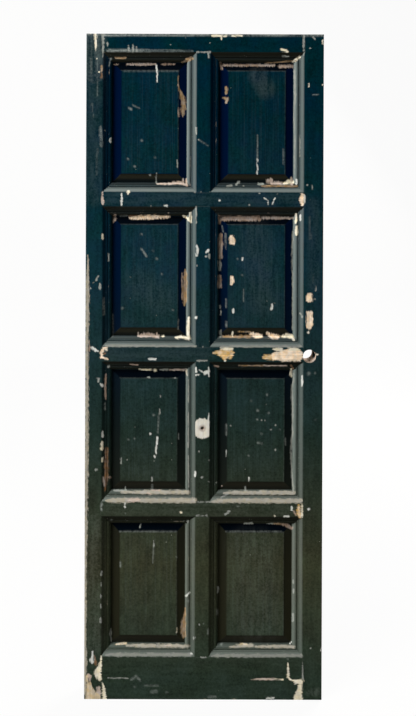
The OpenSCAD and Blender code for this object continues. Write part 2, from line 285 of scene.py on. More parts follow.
    (WHITE, (271.9, 305.5, 1.1), (271.5, 309.5, 1.1)),
    (GREY, (220.3, 331.5, 1.2), (220.3, 337, 1.1)),
    (CREAM, (232.5, 333, 0.9), (232.5, 337, 1.1)),
    (TAN, (238.5, 332.2, 0.6), (250, 332.4, 0.7)),
    (TAN, (223, 337, 0.9), (236, 337.2, 1.3), (250, 337, 1.3)),
    (PEACH, (251, 334.8, 1.6), (256, 336, 2.5), (260.5, 336.5, 1.9)),
    (PEACH, (267.5, 334, 1.4), (270, 336, 2.2), (277.5, 337.2, 2.1)),
    (CREAM, (282.5, 337.2, 1.3), (287, 335.8, 2.0), (291, 337, 2.1), (293.8, 340.6, 0.9)),
    (STONE_AND_HIGHLIGHT, (221, 347, 0.9), (240, 346.8, 1.1), (270, 346.7, 1.0), (301, 346.8, 0.8)),
    # lock stile
    (GREY, (313, 37, 0.9), (315, 39, 0.7)),
    (GREY, (309.5, 48, 0.5), (311.5, 48, 0.5)),
    (CREAM, (322.8, 40, 0.6), (322.8, 44, 0.6)),
    (CREAM, (322.6, 85, 0.7)),
    (CREAM, (308.7, 84, 0.7), (308.7, 86.5, 0.7)),
    (GREY, (307, 186, 0.7)),
    (GREY, (312, 186, 0.6), (312, 190.5, 0.6)),
    (GREY, (310, 201, 0.6)),
    (PEACH, (309.3, 296.4, 2.6), (309.6, 300.4, 2.9)),
    (GREY, (314.8, 300, 1.0)),
    (GREY, (315.7, 286.5, 0.5), (315.8, 291.5, 0.6)),
    (PEACH, (309.3, 314.5, 2.8), (309.7, 321, 3.4), (309.2, 327, 2.9)),
    (CREAM, (308.2, 333.1, 1.1)),
    (GREY, (300, 314, 0.7), (302, 317.5, 0.9)),
    (CREAM, (317.3, 355, 1.0)),
    (WHITE, (308.6, 507.2, 1.2)),
    (GREY, (310.7, 648, 0.9)),
    (WHITE, (321, 647.5, 0.6), (321, 650.5, 0.6)),
    # lock rail
    (GOLD, (213.5, 353.2, 0.9), (218, 353.4, 2.2), (223.5, 354.4, 4.2), (229, 354, 4.4),
     (232.6, 353.5, 1.8)),
    (CREAM, (220.6, 349, 1.0), (226.5, 350.2, 1.8), (231.5, 349.6, 1.6)),
    (GOLD, (221, 350, 1.1), (223, 353, 1.9)),
    (GOLD, (231, 350.5, 1.3), (230.5, 357.5, 1.7)),
    (GOLD, (223, 357, 1.9), (225, 360.5, 1.2)),
    (WHITE, (224.8, 361.5, 0.9)),
    (GOLD, (264.8, 357.5, 2.0), (271, 357.8, 2.8)),
    (PEACH, (274, 357.3, 3.7), (283, 356, 5.6), (297, 355.8, 6.0)),
    (CREAM, (273.5, 349.6, 1.0), (281, 350.6, 2.0)),
    (CREAM, (290, 350, 1.8), (298, 350.8, 2.1)),
    (WHITE, (149, 359.7, 0.9), (155.5, 359.7, 0.9)),
    (PINK, (130, 365, 0.5), (138, 365.2, 0.6)),
    (GREY, (197, 361.3, 0.8), (206.5, 361.3, 0.8)),
    (GREY, (202.7, 347.2, 0.8)),
    (TAN, (239, 366.2, 0.6), (262, 366.2, 0.7)),
    (BLUSH, (262, 366.2, 0.6), (287, 366.3, 0.6)),
    (PINK, (215, 366.3, 0.9), (218.3, 367, 0.9)),
    # lower row, left
    (CREAM, (139.5, 369.8, 0.7), (151, 370.3, 0.9)),
    (CREAM, (155, 371, 1.4)),
    (GREY, (160, 370, 0.7), (168, 370.2, 0.8)),
    (BLUSH, (170, 370.2, 0.7), (184, 370.2, 0.9)),
    (BONE, (186, 370.2, 1.0), (187.3, 375.5, 0.7)),
    (WHITE, (195.6, 368.5, 0.8), (196, 372, 1.0)),
    (WHITE, (195.5, 375.4, 0.9), (199, 375, 0.8)),
    (WHITE, (199.5, 370.5, 0.6), (203.5, 373, 0.7)),
    (WHITE, (205.5, 373.2, 1.7), (208, 372, 1.2), (209, 376.5, 0.5)),
    (WHITE, (208.5, 368, 0.5), (209.5, 372, 0.7)),
    (GREY, (147.5, 377.6, 0.6), (149.5, 377.6, 0.6)),
    (GREY, (173.5, 378.2, 0.6), (175.5, 378.2, 0.6)),
    (GREY, (160.4, 395, 0.6), (160.4, 397, 0.6)),
    (GREY, (159.6, 409, 0.6), (159.6, 414, 0.7)),
    (WHITE, (157.3, 436, 0.7), (156.9, 443, 0.9)),
    (WHITE, (156.2, 444.5, 0.6), (155.7, 452, 0.8)),
    (WHITE, (155, 455.4, 1.2)),
    (GREY, (154.2, 459.5, 0.6)),
    (WHITE, (150, 433, 1.2)),
    (GREY, (121.2, 456.5, 0.6), (121, 462, 0.8)),
    (GREY, (127.3, 458.7, 0.7)),
    (GREY, (152.1, 476, 0.9), (152.1, 479, 0.9)),
    (STONE_AND_HIGHLIGHT, (188.3, 380, 0.5), (188.6, 402, 0.6)),
    (STONE_AND_HIGHLIGHT, (188.5, 412, 0.5), (188.2, 446, 0.7)),
    (STONE_AND_HIGHLIGHT, (188.3, 455, 0.6), (188.8, 485, 0.7)),
    (GREY, (114, 488.5, 0.8), (126, 488.5, 1.0)),
    (GREY, (125.2, 485, 0.5), (125.2, 488, 0.8)),
    (BONE, (122, 490.2, 1.2), (150, 490.2, 2.1), (188.5, 490.4, 1.9)),
    (BLUSH, (146, 490.5, 1.4), (150, 491.2, 1.5)),
    (BLUSH, (152, 488.8, 1.1), (160, 488.8, 0.9)),
    (BONE, (106, 498.8, 0.9), (112, 498.6, 2.3), (126, 498.4, 2.6)),
    (BLUSH, (126, 498.4, 1.7), (137, 497.5, 2.0), (141, 498, 1.7)),
    (BONE, (141, 498.2, 2.4), (194.5, 498.6, 2.4)),
    # lower row, right
    (BROWN, (291, 366, 0.8), (292.5, 368.5, 1.0)),
    (CREAM, (291.2, 369.5, 0.7), (290.6, 374, 1.2), (291.2, 377, 0.7)),
    (WHITE, (302, 376.5, 0.7), (302.2, 381, 0.8), (302, 386, 0.6)),
    (GREY, (275.5, 424.7, 0.9)),
    (GREY, (271.3, 428.8, 0.8)),
    (GREY, (261.4, 419.7, 0.7)),
    (GREY, (264.7, 420.1, 0.7)),
    (GREY, (230.7, 425, 0.8)),
    (GREY, (275.2, 448.7, 1.0)),
    (GREY, (226, 449, 0.6), (226, 455, 0.6)),
    (STONE_AND_HIGHLIGHT, (293.8, 374, 0.6), (293.8, 380, 0.7), (292, 386, 0.9), (291.9, 398, 1.0), (292.5, 405, 0.9),
     (292.4, 414, 0.9), (292.3, 425, 0.6), (292.5, 433, 1.1), (291.5, 440, 0.8), (290.8, 450, 0.9),
     (291.2, 462, 0.8), (292, 475, 0.8), (293.5, 488, 0.9)),
    (WHITE, (208.6, 413, 0.6), (208.6, 420.5, 0.7)),
    (WHITE, (249, 476, 0.6), (249, 479.5, 0.6)),
    (GREY, (245.2, 485.5, 0.9), (245.2, 488.5, 0.9)),
    (GREY, (208.7, 459, 0.8)),
    (GREY, (201.8, 475.7, 1.1)),
    (GREY, (208.7, 479.9, 0.7)),
    (GREY, (216.2, 480.7, 0.7)),
    (BLUSH, (222, 484, 0.7)),
    (WHITE, (195.3, 470, 0.8), (195.3, 474.5, 0.8)),
    (GREY, (199, 450.4, 0.6)),
    (GREY, (221, 495, 0.6), (228, 492, 0.8)),
    (BONE, (224, 491, 0.9), (236, 490.7, 2.0), (293.5, 491, 1.9)),
    (BONE, (211.5, 499.6, 0.8), (216, 499.3, 1.6), (224, 498.6, 2.3), (300, 498.8, 2.3)),
    (GREY, (195, 499.8, 0.4), (211, 499.8, 0.4)),
    # lower rail
    (WHITE, (124.9, 501, 0.7), (124.8, 505.5, 0.8)),
    (CREAM, (181.2, 510.5, 1.3)),
    (GREY, (196.5, 513.8, 0.7), (203, 513.8, 0.6)),
    (GREY, (206.5, 513.8, 1.0)),
    (GREY, (225, 512.8, 0.8), (229, 509.8, 1.2)),
    (CREAM, (274.6, 514.3, 1.0)),
    (WHITE, (284, 514.7, 0.8), (288.5, 514.7, 0.8)),
    (WHITE, (291.6, 505, 0.9), (291.5, 508, 1.0)),
    (GOLD, (299, 504, 1.5), (298.5, 510, 2.1), (300, 515, 1.5)),
    (CREAM, (302, 502.5, 0.8), (302, 515, 1.0)),
    (PINK, (294, 509.5, 0.7), (296, 513.5, 0.9)),
    # bottom row, left
    (GREY, (187.8, 519.7, 1.1)),
    (GREY, (140.9, 522.5, 0.5), (140.1, 525.8, 0.8)),
    (GREY, (153.8, 539.5, 0.6), (153.8, 544.5, 0.7)),
    (WHITE, (186.4, 595, 1.0), (187.5, 593.5, 0.8), (189.5, 591.5, 0.7)),
    (TAN, (185.2, 607.5, 0.6), (184.9, 614, 1.2), (183.5, 620, 2.1), (183.3, 630, 2.7), (184, 636, 1.7)),
    (CREAM, (177.2, 627.5, 0.5), (177, 632, 0.6)),
    (GREY, (199.4, 624.2, 0.7)),
    (GREY, (194, 637.8, 1.2)),
    (STRAW, (116, 644, 0.7), (123, 643, 1.1), (126, 643, 0.9)),
    (BONE, (127.5, 645.3, 1.2), (140, 645.2, 1.9), (160, 645.4, 1.8), (188, 646, 1.6)),
    (BLUSH, (163, 645, 0.9), (171, 645.2, 0.9)),
    (STONE_AND_HIGHLIGHT, (106, 654.8, 0.9), (113, 654.5, 1.7), (190, 654.6, 1.7)),
    (WHITE, (191.5, 653.6, 1.2)),
    (GREY, (201, 657.3, 0.6), (206, 657.3, 0.6)),
    # bottom row, right
    (GREY, (244.5, 521.8, 0.8), (252.5, 521.8, 0.8)),
    (GREY, (267, 522, 0.6), (273, 522, 0.7)),
    (TAN, (273.5, 522.2, 0.7), (281, 522.2, 0.8)),
    (PINK, (281.5, 522.5, 0.9), (287, 524, 1.8), (291.3, 526.3, 1.5)),
    (GREY, (217.8, 586, 0.7), (217.8, 592, 0.8)),
    (GREY, (293.3, 579, 0.6), (293.3, 582.5, 0.6)),
    (GREY, (293.3, 588, 0.6), (293.3, 592, 0.6)),
    (GREY, (293, 613.5, 1.0), (292.8, 620.5, 0.9)),
    (BONE, (229, 646.8, 0.8), (236, 646, 1.4), (240, 645.3, 1.8), (252, 645.2, 1.6)),
    (STRAW, (240.5, 644, 1.1), (247, 644.2, 0.9)),
    (BONE, (256, 646.6, 1.1), (272, 646, 1.6), (294, 646.6, 1.4)),
    (WHITE, (291.3, 641.5, 0.5), (290, 643.5, 0.9)),
    (STONE_AND_HIGHLIGHT, (211.5, 655.8, 0.9), (218, 655.5, 1.6), (301.5, 655.5, 1.6)),
    # bottom rail
    (GREY, (108, 678, 0.4), (128, 678, 0.5)),
    (CREAM, (288, 663, 0.5), (288.2, 670, 0.9), (288, 677, 1.3), (290.5, 679.8, 0.6)),
    (BLUSH, (251.5, 679.2, 0.4), (257, 679, 0.9), (272, 679, 1.0), (276, 679.2, 0.5)),
    (CREAM, (275, 679, 0.6), (283, 679.6, 0.5)),
    (CREAM, (292, 680.2, 0.9), (296, 682, 1.7), (301.5, 681.5, 1.9)),
    (CREAM, (300.5, 681, 2.1), (300, 688, 2.3), (299, 692, 2.9), (298, 697.5, 4.4)),
    (GREY, (302.5, 663, 0.5), (302.5, 672, 0.6), (302.9, 679, 0.8)),
    (WHITE, (266.5, 698, 0.8), (273.5, 698, 0.8)),
]

# scuffs that whiten the paint without lifting it: share, then places and half widths as above
SCUFFS = [
    # hanging stile
    (0.10, (94, 30, 10), (94, 84, 9)),
    (0.03, (94, 84, 10), (94, 200, 7)),
    (0.22, (91, 58, 2.5), (91.5, 74, 3)),
    (0.20, (97.5, 62, 2), (97, 96, 2.5)),
    (0.14, (92, 104, 3), (94, 122, 3)),
    (0.10, (97, 150, 2.5), (96, 176, 3)),
    (0.30, (100, 128, 2.2), (101, 146, 2.2)),
    (0.35, (103.6, 299, 1.0), (103.8, 315, 1.1)),
    (0.35, (112.8, 315, 0.5), (112.8, 337, 0.5)),
    (0.40, (104.9, 403, 0.7), (104.9, 409, 0.7)),
    (0.45, (101.6, 501.4, 1.1), (101.6, 508, 1.1)),
    (0.04, (94, 520, 8), (94, 645, 8)),
    # top rail and top row
    (0.45, (88, 34.8, 1.4), (322, 34.8, 1.4)),
    (0.025, (110, 200.5, 8), (300, 200.5, 8)),
    (0.45, (108, 50.4, 1.5), (150, 50.6, 1.4)),
    (0.25, (150, 50.6, 1.3), (192, 50.8, 1.2)),
    (0.40, (109, 66, 0.7), (111, 58, 0.7)),
    (0.14, (124, 71.2, 0.8), (178, 71.2, 0.8)),
    (0.40, (129, 108.5, 1.0), (131, 109.5, 1.1)),
    (0.35, (133, 105.5, 0.7), (139, 108.5, 0.7)),
    (0.40, (127.7, 159.8, 1.0)),
    (0.45, (134.7, 167.3, 1.1)),
    (0.25, (141.8, 141.2, 1.1)),
    (0.25, (155, 158.2, 1.0)),
    (0.35, (198.6, 140.3, 0.5), (208.5, 146.6, 0.5)),
    (0.05, (258, 76, 8), (266, 90, 8)),
    (0.45, (257.5, 136, 0.5), (257.5, 160, 0.6)),
    (0.30, (283.5, 150, 0.6), (283.5, 165, 0.6)),
    # upper row
    (0.45, (120.5, 217, 0.7), (127, 217, 0.7)),
    (0.55, (141.4, 249.8, 0.8), (146.3, 257.2, 0.9)),
    (0.35, (141.4, 235.7, 1.1)),
    (0.25, (153, 252, 1.0)),
    (0.30, (156.7, 259.7, 1.2)),
    (0.25, (162, 275, 1.0)),
    (0.45, (158, 289.5, 0.8), (158, 295, 0.8)),
    (0.25, (130.6, 278, 1.0)),
    (0.30, (122.7, 309, 1.3)),
    (0.25, (172.9, 310.7, 1.1)),
    (0.02, (140, 285, 14), (160, 300, 14)),
    (0.45, (222, 227, 0.5), (223, 233, 0.5)),
    (0.40, (225.5, 235, 0.7), (226, 250, 0.6)),
    (0.45, (257.6, 237.7, 1.0)),
    (0.30, (237.7, 260, 0.9)),
    (0.40, (242.3, 276.3, 1.1)),
    (0.25, (256.8, 283.3, 0.9)),
    (0.025, (255, 235, 14), (262, 300, 14)),
    (0.30, (243.5, 290, 0.6), (243.5, 302, 0.6)),
    (0.30, (266, 290, 0.6), (267, 303, 0.6)),
    (0.40, (274.2, 303.7, 1.0)),
    (0.35, (226, 300, 0.7), (226, 308, 0.7)),
    (0.35, (226.4, 322.5, 0.9), (226.4, 327, 0.9)),
    # lock stile
    (0.025, (314, 205, 6), (314, 285, 6)),
    (0.10, (310, 218, 1.5), (310.5, 240, 2)),
    (0.08, (314, 262, 2.5), (313, 284, 2)),
    (0.40, (313, 95, 0.5), (318, 95, 0.5)),
    (0.35, (317.7, 230, 0.5), (317.6, 255, 0.5)),
    (0.35, (316, 272, 0.5), (316.3, 280, 0.5)),
    (0.25, (308.6, 374, 1.8)),
    (0.30, (315.3, 373.3, 1.0)),
    (0.35, (315.7, 419.3, 1.0)),
    (0.06, (309, 693, 3), (319, 692, 4)),
    # lower row
    (0.018, (110, 355, 8), (205, 355, 8)),
    (0.40, (158.6, 416, 0.6), (158.2, 424, 0.6), (157.8, 432, 0.6)),
    (0.30, (134.7, 437.5, 0.9)),
    (0.30, (128.5, 438.8, 0.9)),
    (0.35, (153.8, 414.7, 1.1)),
    (0.40, (178.3, 433, 0.6), (178.3, 438, 0.6)),
    (0.40, (152.1, 483, 0.8), (152.1, 488, 0.8)),
    (0.30, (267.2, 394.8, 1.2)),
    (0.35, (257.6, 410.2, 1.2)),
    (0.20, (251, 400.6, 1.0)),
    (0.25, (268.5, 412.5, 1.1)),
    (0.30, (257.2, 418.9, 0.9)),
    (0.30, (279.6, 428.8, 0.9)),
    (0.25, (261.4, 433, 1.1)),
    (0.25, (258, 442, 1.1), (262, 442.5, 1.1)),
    (0.25, (248.5, 454.5, 1.0)),
    (0.30, (226.4, 424, 0.8), (226.4, 434, 0.8)),
    (0.35, (285.4, 437.5, 0.9), (285.4, 443.5, 0.9)),
    # lower rail and bottom row
    (0.02, (110, 507, 8), (300, 507, 8)),
    (0.03, (252, 550, 22), (256, 620, 22)),
    (0.25, (125.2, 511.4, 1.3)),
    (0.30, (171, 510.5, 0.5), (180, 510.5, 0.6)),
    (0.25, (236.5, 504.3, 1.0), (240, 504.5, 0.8)),
    (0.30, (111.5, 518, 1.0)),
    (0.18, (120, 530, 0.8), (176, 530, 0.8)),
    (0.20, (226, 530, 0.8), (281, 530, 0.8)),
    (0.35, (153.5, 545, 0.5), (152.8, 562, 0.4)),
    (0.35, (120.4, 561, 0.8), (120.4, 565.5, 0.8)),
    (0.30, (176.6, 555.8, 0.8)),
    (0.30, (188, 600, 1.5)),
    (0.25, (203.5, 623, 0.7)),
    (0.30, (208.1, 629, 1.0), (208.1, 633, 1.0)),
    (0.25, (244, 531, 0.6), (244, 546, 0.6)),
    (0.35, (217, 609, 0.7), (217, 613.5, 0.7)),
    (0.40, (221.6, 644, 1.5)),
    # bottom rail
    (0.30, (131, 679.5, 1.0), (136, 676.5, 1.2), (140, 680, 1.0)),
    (0.30, (134.7, 686.7, 1.0)),
    (0.20, (145, 685.5, 0.8), (158, 685.5, 0.8)),
    (0.25, (152, 692, 1.6), (156, 691.5, 1.6)),
    (0.25, (167, 693, 1.4)),
    (0.30, (287.9, 659, 0.8)),
    (0.30, (208.5, 697, 1.1), (215.5, 697, 1.1)),
]


# depth of a point that is far from every mark
UNMARKED = -4.0


def deepest_mark(px, py, marks, border):
    """How deep points lie in the listed marks, 0.5 at a mark's edge and more inside it, and in which."""
    depth = np.full(len(px), UNMARKED)
    which = np.zeros(len(px), int)
    reach = 8
    for number, mark in enumerate(marks):
        places = mark[1:]
        for (x0, y0, half0), (x1, y1, half1) in zip(places, places[1:] or places):
            beside = (px > min(x0, x1) - half0 - reach) & (px < max(x0, x1) + half0 + reach)
            level = (py > min(y0, y1) - half0 - reach) & (py < max(y0, y1) + half0 + reach)
            near = np.flatnonzero(beside & level)
            run = max((x1 - x0) ** 2 + (y1 - y0) ** 2, 1e-9)
            along = np.clip(((px[near] - x0) * (x1 - x0) + (py[near] - y0) * (y1 - y0)) / run, 0, 1)
            away = np.hypot(px[near] - x0 - along * (x1 - x0), py[near] - y0 - along * (y1 - y0))
            half = half0 + along * (half1 - half0)
            here = 0.5 + (half - away) / np.clip(half, 0.9, border)
            deeper = here > depth[near]
            depth[near[deeper]] = here[deeper]
            which[near[deeper]] = number
    return depth, which


# Shaping the pieces

# faces that meet at less than BLUNT, in radians, are parts of a curve; from SQUARE up they make a corner
BLUNT, SQUARE = 0.9, 1.3
# distance between cuts, in metres
STRIP = 0.003


def edge_test(name):
    """Tells for an edge of a piece, from its middle in millimetres, how far it is rounded over."""
    def rounding(edge):
        if len(edge.link_faces) != 2 or not edge.is_convex or edge.calc_face_angle() < BLUNT:
            return 0
        x, y, z = ((edge.verts[0].co + edge.verts[1].co) * 500)
        on_face = abs(abs(y) - LEAF_T / 2) < TOUCH
        if on_face and (abs(abs(x) - LEAF_W / 2) < TOUCH or min(z, LEAF_H - z) < TOUCH):
            return OUTER_ARRIS
        if name in PANELS:
            return FIELD_ARRIS if abs(abs(y) - FIELD_Y) < TOUCH else 0
        return FLAT_ARRIS if on_face and edge.calc_face_angle() > SQUARE else 0
    return rounding


def cut_in_strips(bm, faces, axis, step):
    """Cuts faces across an axis at even steps, so that their corners lie close together."""
    normal = Vector((axis == 0, axis == 1, axis == 2))
    spans = {f: (min(v.co[axis] for v in f.verts), max(v.co[axis] for v in f.verts)) for f in faces}
    place = (math.floor(min(s[0] for s in spans.values()) / step) + 0.5) * step
    top = max(s[1] for s in spans.values())
    while place < top:
        crossing = [f for f, (low, high) in spans.items() if low < place - 1e-5 and high > place + 1e-5]
        if crossing:
            edges = {e for f in crossing for e in f.edges}
            verts = {v for f in crossing for v in f.verts}
            made = bmesh.ops.bisect_plane(bm, geom=crossing + list(edges) + list(verts), dist=1e-6,
                                          plane_co=normal * place, plane_no=normal)
            for f in crossing:
                spans.pop(f)
            for f in made["geom"]:
                if isinstance(f, bmesh.types.BMFace):
                    spans[f] = (min(v.co[axis] for v in f.verts), max(v.co[axis] for v in f.verts))
        spans = {f: s for f, s in spans.items() if s[1] > place + 1e-5}
        place += step


def shaped(name):
    """A copy of a CAD piece with worn arrises, cut finely enough on its face to carry the marks."""
    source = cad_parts[name].data
    bm = bmesh.new()
    bm.from_mesh(source)
    bmesh.ops.remove_doubles(bm, verts=bm.verts, dist=1e-5)
    bmesh.ops.dissolve_limit(bm, angle_limit=math.radians(0.3), verts=bm.verts, edges=bm.edges)
    rounding = edge_test(name)
    radii = {}
    for edge in bm.edges:
        radius = rounding(edge)
        if radius:
            radii.setdefault(radius, []).append(edge)
    for radius, edges in sorted(radii.items()):
        edges = [e for e in edges if e.is_valid]
        bmesh.ops.bevel(bm, geom=edges, offset=radius / 1000, offset_type="OFFSET", segments=2,
                        profile=0.5, affect="EDGES", clamp_overlap=True)
    length = 0 if name in RAILS else 2
    cut_in_strips(bm, list(bm.faces), length, STRIP)
    front = [f for f in bm.faces if f.normal.y < -0.2]
    cut_in_strips(bm, front, 2 - length, STRIP)
    mesh = bpy.data.meshes.new(name)
    bm.to_mesh(mesh)
    bm.free()
    mesh.shade_smooth()
    mesh.set_sharp_from_angle(angle=math.radians(22))
    return mesh


# What each point of a piece carries

# besides loss and wear, these carry a painted highlight on the mouldings that face the light, and painted
# shade on their heads, their lower beads and the panels' borders
CARRIED = ("loss", "scuffed", "rubbed", "moulding_highlight", "shaded_head", "shaded_bead", "shaded_border", "chalked")


def into_opening(x, z):
    """How far points lie inside their opening, in millimetres, below 0 on flat faces, and by which side."""
    inside = np.full(len(x), -1e3)
    side = np.zeros(len(x), int)
    for x0, x1 in COLUMNS:
        for z0, z1 in ROWS:
            reach = np.stack([x - x0, x1 - x, z - z0, z1 - z])
            here = reach.min(0)
            side = np.where(here > inside, reach.argmin(0), side)
            inside = np.maximum(inside, here)
    return inside, side


def ridge(distance, width):
    """1 on a line, falling to nothing on both sides of it."""
    return np.exp(-(distance / width) ** 2)


def carry(mesh, name, number):
    """Writes to each corner where its grain runs, its lost paint, how worn it is, and where light and shade
    are painted on it.
    """
    co = np.empty(len(mesh.vertices) * 3)
    mesh.vertices.foreach_get("co", co)
    co = co.reshape(-1, 3)
    x, y, z = co.T * 1000
    inside, side = into_opening(x, z)
    front = y < -3

    px, py = photo_point(co)
    loss, mark = deepest_mark(px, py, LOST_PAINT, 1.6)
    tones = np.array([colour(tone) for tone, *_ in LOST_PAINT])
    under = np.where((loss > -3)[:, None], tones[mark], colour(RUBBED_WOOD))
    loss = np.where(front, loss, UNMARKED)

    # the pale seat of the knob, ragged over 4 mm at its rim, and darker from 13 mm in toward its hole
    seat = np.hypot(x - KNOB_HOLE[0], z - KNOB_HOLE[1])
    on_seat = (name == "muntin_lower") & front & (np.abs(x - MUNTIN_X) < KNOB_SEAT_HALF)
    seat_loss = np.where(on_seat, 0.5 + (KNOB_SEAT_R - seat) / 4, UNMARKED)
    worn_ring = np.clip((13 - seat) / 7, 0, 1)[:, None]
    seat_tone = np.array(colour("#dbd6c8")) * (1 - worn_ring) + np.array(colour("#a3958a")) * worn_ring
    under = np.where((seat_loss > loss)[:, None], seat_tone, under)
    loss = np.maximum(loss, seat_loss)

    # the walls of the two holes are raw wood
    in_lock = np.hypot(x - LOCK_HOLE[0], z - LOCK_HOLE[1]) < LOCK_HOLE[2] + 0.3
    in_knob = seat < KNOB_HOLE[2] + 0.3
    raw = (in_lock | in_knob) & (np.abs(y) < LEAF_T / 2 - 0.2)
    loss = np.where(raw, 1.5, loss)
    under = np.where(raw[:, None], colour("#a08f80"), under)

    depth, mark = deepest_mark(px, py, SCUFFS, 20)
    shares = np.array([share for share, *_ in SCUFFS])
    scuffed = np.where(front, shares[mark] * np.clip(depth, 0, 1), 0)
    # mouldings: painted highlight on an opening's lock side and sill, which face the light, left off the
    # quirk's groove; painted shade on its head and along its lower bead
    moulding = np.clip((inside - 1) / 3, 0, 1) * np.clip((SIGHT_LINE - inside) / 4, 0, 1)
    outer_part = moulding * np.clip((SIGHT_LINE - inside) / 12, 0, 1)
    lock_side = np.interp(z, (300, 1800), (0.1, 0.16)) * np.interp(inside, (18, 23), (1, 1.8))
    moulding_highlight = np.select([side == RIGHT, side == BOTTOM], [lock_side * moulding, 0.2 * outer_part], 0)
    moulding_highlight = np.where(front, moulding_highlight * (1 - 0.8 * ridge(inside - QUIRK, 1.8)), 0)
    shaded_head = np.where(front & (side == TOP), 0.75 * moulding, 0)
    bead = np.clip((inside - 21) / 3, 0, 1) * np.clip((45 - inside) / 6, 0, 1)
    bead = bead * np.interp(z, (600, 1100, 1550), (0.2, 0.55, 0.85))
    shaded_bead = np.where(front & (side == BOTTOM), bead, 0)
    open_edge = (side == RIGHT) | (side == TOP)
    # a faint pale line along a field's top and lock-side arrises: scuffing, and on the top arris a painted
    # highlight
    scuffed = np.maximum(scuffed, np.where(front & open_edge, 0.05 * ridge(inside - FIELD - 1, 1.8), 0))

    # arrises are rubbed, and the sloping borders of the panels take painted shade
    outer = np.minimum(LEAF_W / 2 - np.abs(x), np.minimum(z, LEAF_H - z))
    on_face = LEAF_T / 2 - np.abs(y)
    rubbed = ridge(np.hypot(outer, on_face), 2.5)
    rubbed = np.maximum(rubbed, 0.75 * ridge(inside - FILLET, 2.0))
    if name in PANELS:
        rubbed = np.where(open_edge, 0.2, 0.04) * ridge(inside - FIELD, 1.5)
    rim = FIELD + np.select([side == RIGHT, side == TOP], [1.5, 2.5], 4)
    shaded_border = np.clip((inside - SIGHT_LINE + 1) / 3, 0, 1) * np.clip((rim - inside) / 3, 0, 1)
    # the sides of the mouldings that face away from the light, on the left and at the head, take part of
    # that painted shade
    shaded_side = np.select([side == LEFT, side == TOP], [0.5, 0.25], 0)
    shaded_border = np.maximum(shaded_border, shaded_side * outer_part)
    # the back is cut coarsely, so its flat fields would spread what their rims carry
    shaded_border = np.where(y > FIELD_Y - 0.1, 0, shaded_border)
    chalked = np.clip((inside - FIELD) / 18, 0, 1)

    along, across = (x, z) if name in RAILS else (z, x)
    grain = np.stack([along + 531 * number, across + 97 * number, y], 1) / 1000
    mesh.attributes.new("grain", "FLOAT_VECTOR", "POINT").data.foreach_set("vector", grain.ravel())
    mesh.attributes.new("under", "FLOAT_COLOR", "POINT").data.foreach_set("color", under.ravel())
    carried = (loss, scuffed, rubbed, moulding_highlight, shaded_head, shaded_bead, shaded_border, chalked)
    for label, values in zip(CARRIED, carried):
        mesh.attributes.new(label, "FLOAT", "POINT").data.foreach_set("value", values)


# Materials


def node(tree, kind, inputs, **settings):
    """Adds a shader node, sets it, and fills its sockets; stops are the colours of a ramp."""
    made = tree.nodes.new("ShaderNode" + kind)
    for place, code in settings.pop("stops", ()):
        made.color_ramp.elements.new(place).color = colour(code)
    for key, value in settings.items():
        setattr(made, key, value)
    for key, value in inputs.items():
        if isinstance(value, bpy.types.NodeSocket):
            tree.links.new(value, made.inputs[key])
        else:
            made.inputs[key].default_value = value
    if kind == "ValToRGB":
        # a new ramp comes with black at 0 and white at 1
        elements = made.color_ramp.elements
        elements.remove(elements[0])
        elements.remove(elements[-1])
    return made


def new_material(name):
    material = bpy.data.materials.new(name)
    material.use_nodes = True
    material.node_tree.nodes.clear()
    return material, material.node_tree


# Old enamel on pine: deep blue-green film, dull, brushed and scuffed, flaking off to pale primer and wood,
# with painted highlights and painted shade on its mouldings and panel borders.
enamel, tree = new_material("aged_enamel_on_pine")
place = node(tree, "TexCoord", {}).outputs["Object"]
grain = node(tree, "Attribute", {}, attribute_name="grain").outputs["Vector"]
under = node(tree, "Attribute", {}, attribute_name="under").outputs["Color"]
loss, scuffed, rubbed, moulding_highlight, shaded_head, shaded_bead, shaded_border, chalked = (
    node(tree, "Attribute", {}, attribute_name=label).outputs["Fac"] for label in CARRIED)
spot = node(tree, "SeparateXYZ", {"Vector": place}).outputs

# ragged edges of flakes, about 13 mm along the grain and 5 mm across it, crumbling to 1 mm
ragged_at = node(tree, "Mapping", {"Vector": grain, "Scale": (75, 210, 210)}).outputs["Vector"]
ragged = node(tree, "TexNoise", {
    "Vector": ragged_at, "Scale": 1, "Detail": 4, "Roughness": 0.6}).outputs["Fac"]
# clouds of 70 mm
patchy = node(tree, "TexNoise", {"Vector": place, "Scale": 14, "Detail": 3}).outputs["Fac"]
# brush marks run with the grain: 400 mm long and 3 mm apart
brush_at = node(tree, "Mapping", {"Vector": grain, "Scale": (2.5, 300, 300)}).outputs["Vector"]
brushed = node(tree, "TexNoise", {"Vector": brush_at, "Scale": 1, "Detail": 3}).outputs["Fac"]
# smears 80 mm long and 11 mm wide along the grain, and grit of 6 mm
smear_at = node(tree, "Mapping", {"Vector": grain, "Scale": (12, 90, 90)}).outputs["Vector"]
smears = node(tree, "TexNoise", {"Vector": smear_at, "Scale": 1, "Detail": 3}).outputs["Fac"]
grit = node(tree, "TexNoise", {"Vector": place, "Scale": 170, "Detail": 3, "Roughness": 0.7}).outputs["Fac"]

